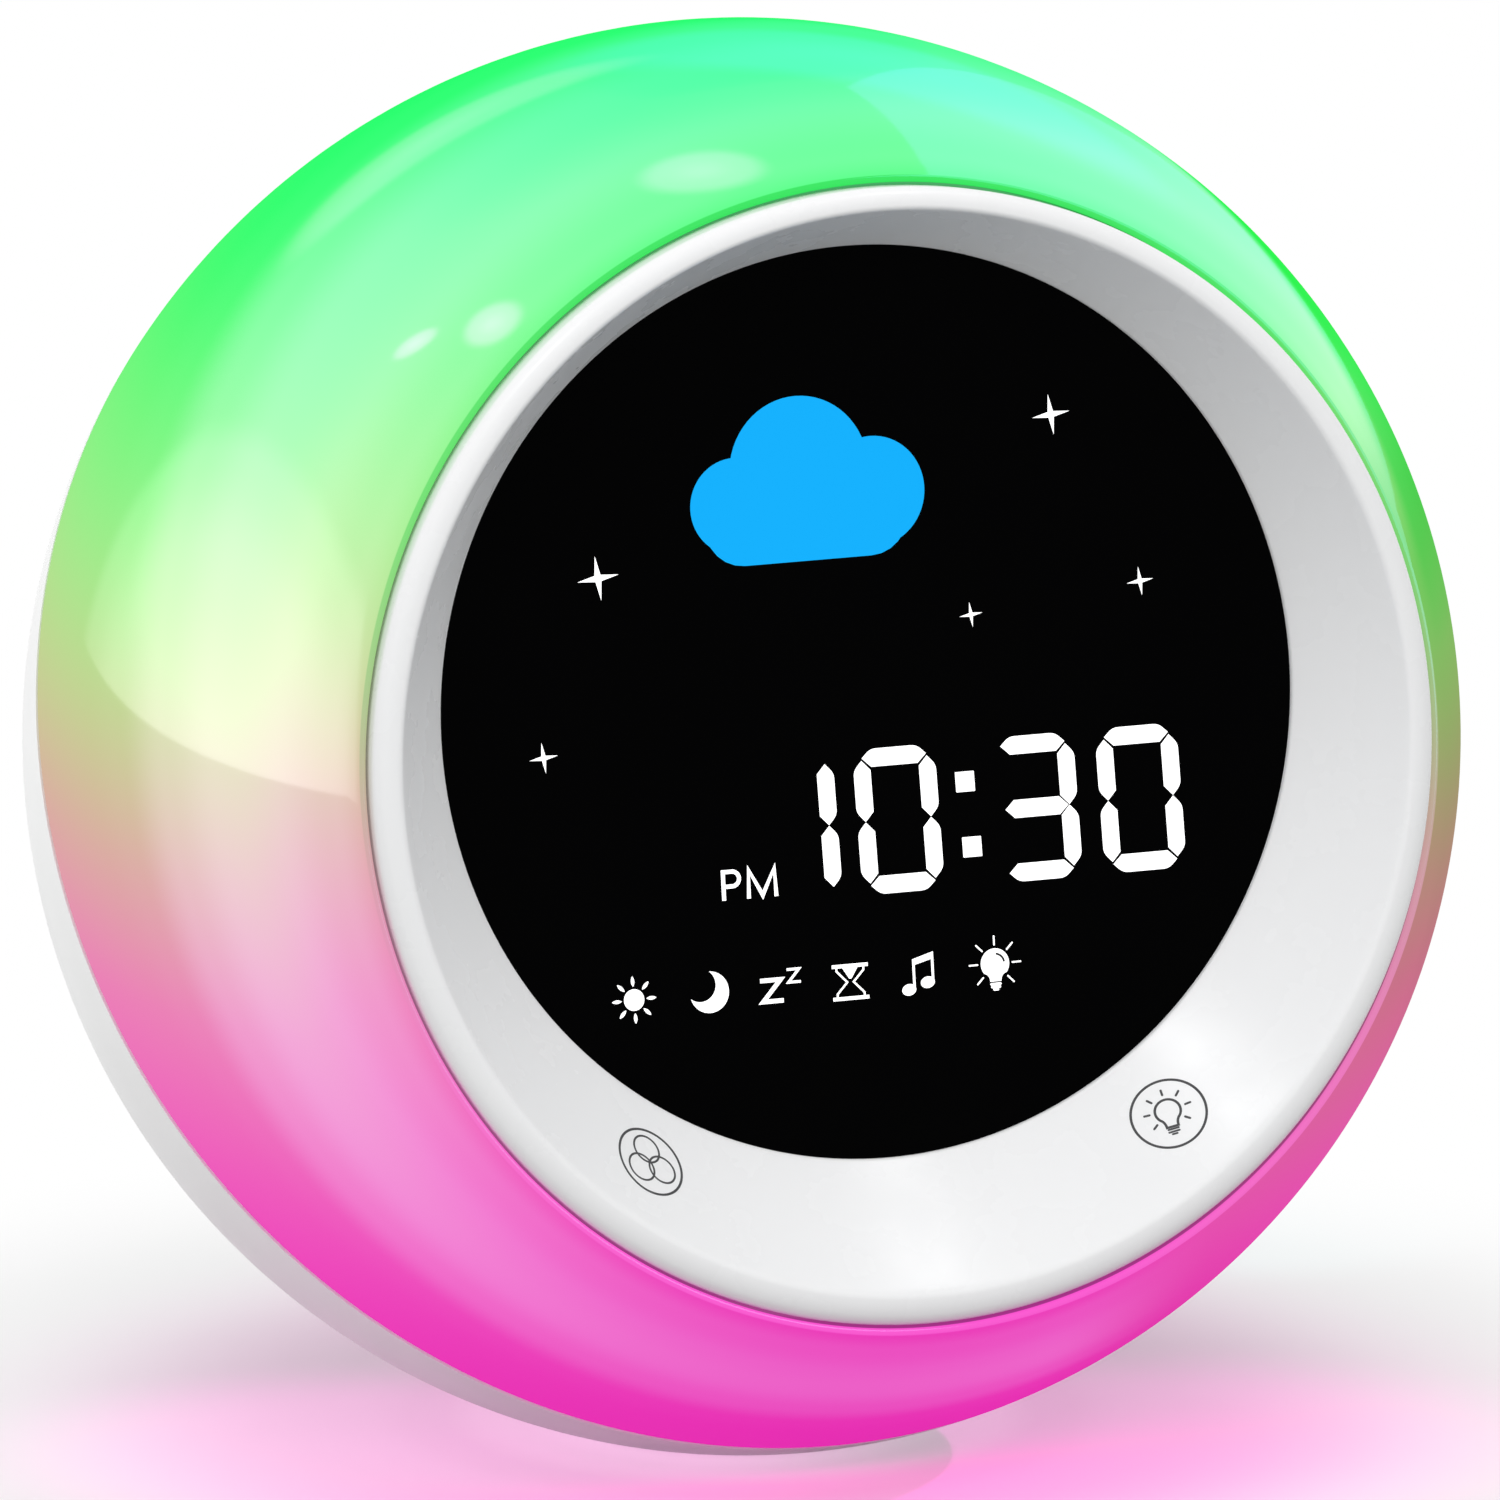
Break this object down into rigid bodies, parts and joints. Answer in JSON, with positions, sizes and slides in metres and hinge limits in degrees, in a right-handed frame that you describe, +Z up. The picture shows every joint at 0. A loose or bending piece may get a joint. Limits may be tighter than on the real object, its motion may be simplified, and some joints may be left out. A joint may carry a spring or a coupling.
{
  "type": "kids alarm clock with night light",
  "caption": "Ball-shaped bedside alarm clock: milky glowing front shell, white rear housing, sunken round display, push keys and a slide switch at the back.",
  "frame": {"origin": "on the table plane, at the centre of the base pad's underside, below the ball's centre", "axes": "+Z up, +X to the clock's left side, which is the viewer's right from the front, -Y the way the face looks; the face leans back 8 degrees"},
  "size_m": [0.15, 0.1232, 0.1477],
  "materials": {
    "housing": "glossy moulded white plastic",
    "diffuser": "milky translucent plastic, lit from inside by colour lamps, clear gloss",
    "bezel": "high-gloss moulded white plastic with thin grey printed marks",
    "seal": "dark closed-cell foam rubber",
    "pad": "grey matt silicone rubber",
    "lens": "smoked clear sheet, glossy, nearly black",
    "film": "black film with clear digits, icons and stars",
    "inner_plastic": "matt white plastic",
    "circuit_board": "green solder mask",
    "ring_board": "white solder mask",
    "lamps": "lamp bodies with yellow gel",
    "ribbon": "flat ribbon cable",
    "copper": "copper foil on foam",
    "lead_black": "black insulated wire",
    "lead_red": "red insulated wire",
    "chips": "black moulded resin",
    "cans": "sleeved aluminium cans",
    "tray": "dark grey plastic",
    "cell": "shrink sleeve over a steel can",
    "speaker_metal": "black stamped steel",
    "paper_cone": "coated paper",
    "magnet": "plated ferrite magnet and yoke",
    "knob": "grey plastic",
    "socket_metal": "drawn steel shell with a dark tongue",
    "keys": "pale grey plastic caps",
    "plungers": "natural plastic",
    "screws": "zinc-plated steel"
  },
  "bodies": {
    "clock": {"rear_housing": "housing", "diffuser_shell": "diffuser", "front_bezel": "bezel", "light_seal": "seal", "base_pad": "pad", "display_lens": "lens", "display_mask": "film", "display_light_box": "inner_plastic", "display_board": "circuit_board", "display_leds": "lamps", "display_cover": "inner_plastic", "display_ribbon": "ribbon", "touch_pad_left": "copper", "touch_pad_right": "copper", "touch_leads": "lead_black", "chassis": "inner_plastic", "light_ring_board": "ring_board", "light_ring_leds": "lamps", "light_ring_lead": "lead_red", "main_board": "circuit_board", "main_board_chips": "chips", "main_board_capacitors": "cans", "main_board_sockets": "inner_plastic", "battery_tray": "tray", "battery_cell": "cell", "battery_lead": "lead_red", "speaker_gasket": "seal", "speaker_frame": "speaker_metal", "speaker_cone": "paper_cone", "speaker_magnet": "magnet", "speaker_lead": "lead_black", "rear_board": "circuit_board", "rear_board_lead": "lead_black", "key_switches": "chips", "switch_body": "chips", "usb_socket": "socket_metal", "housing_screws": "screws", "bezel_screws": "screws", "main_board_screws": "screws", "light_ring_screws": "screws", "rear_board_screws": "screws", "speaker_screws": "screws", "tray_screws": "screws"},
    "alarm_key": {"key_alarm": "keys", "plunger_alarm": "plungers"},
    "set_key": {"key_set": "keys", "plunger_set": "plungers"},
    "up_key": {"key_up": "keys", "plunger_up": "plungers"},
    "down_key": {"key_down": "keys", "plunger_down": "plungers"},
    "sound_key": {"key_sound": "keys", "plunger_sound": "plungers"},
    "light_key": {"key_light": "keys", "plunger_light": "plungers"},
    "power_switch": {"switch_knob": "knob"}
  },
  "joints": [
    {"name": "alarm_press", "type": "slide", "parent": "clock", "child": "alarm_key", "axis": [0, -1, 0], "range_m": [0, 0.0006], "stiffness_N_per_m": 1500, "springref_m": -0.0004},
    {"name": "set_press", "type": "slide", "parent": "clock", "child": "set_key", "axis": [0, -1, 0], "range_m": [0, 0.0006], "stiffness_N_per_m": 1500, "springref_m": -0.0004},
    {"name": "up_press", "type": "slide", "parent": "clock", "child": "up_key", "axis": [0, -1, 0], "range_m": [0, 0.0006], "stiffness_N_per_m": 1500, "springref_m": -0.0004},
    {"name": "down_press", "type": "slide", "parent": "clock", "child": "down_key", "axis": [0, -1, 0], "range_m": [0, 0.0006], "stiffness_N_per_m": 1500, "springref_m": -0.0004},
    {"name": "sound_press", "type": "slide", "parent": "clock", "child": "sound_key", "axis": [0, -1, 0], "range_m": [0, 0.0006], "stiffness_N_per_m": 1500, "springref_m": -0.0004},
    {"name": "light_press", "type": "slide", "parent": "clock", "child": "light_key", "axis": [0, -1, 0], "range_m": [0, 0.0006], "stiffness_N_per_m": 1500, "springref_m": -0.0004},
    {"name": "power_slide", "type": "slide", "parent": "clock", "child": "power_switch", "axis": [-1, 0, 0], "range_m": [0, 0.002]}
  ]
}
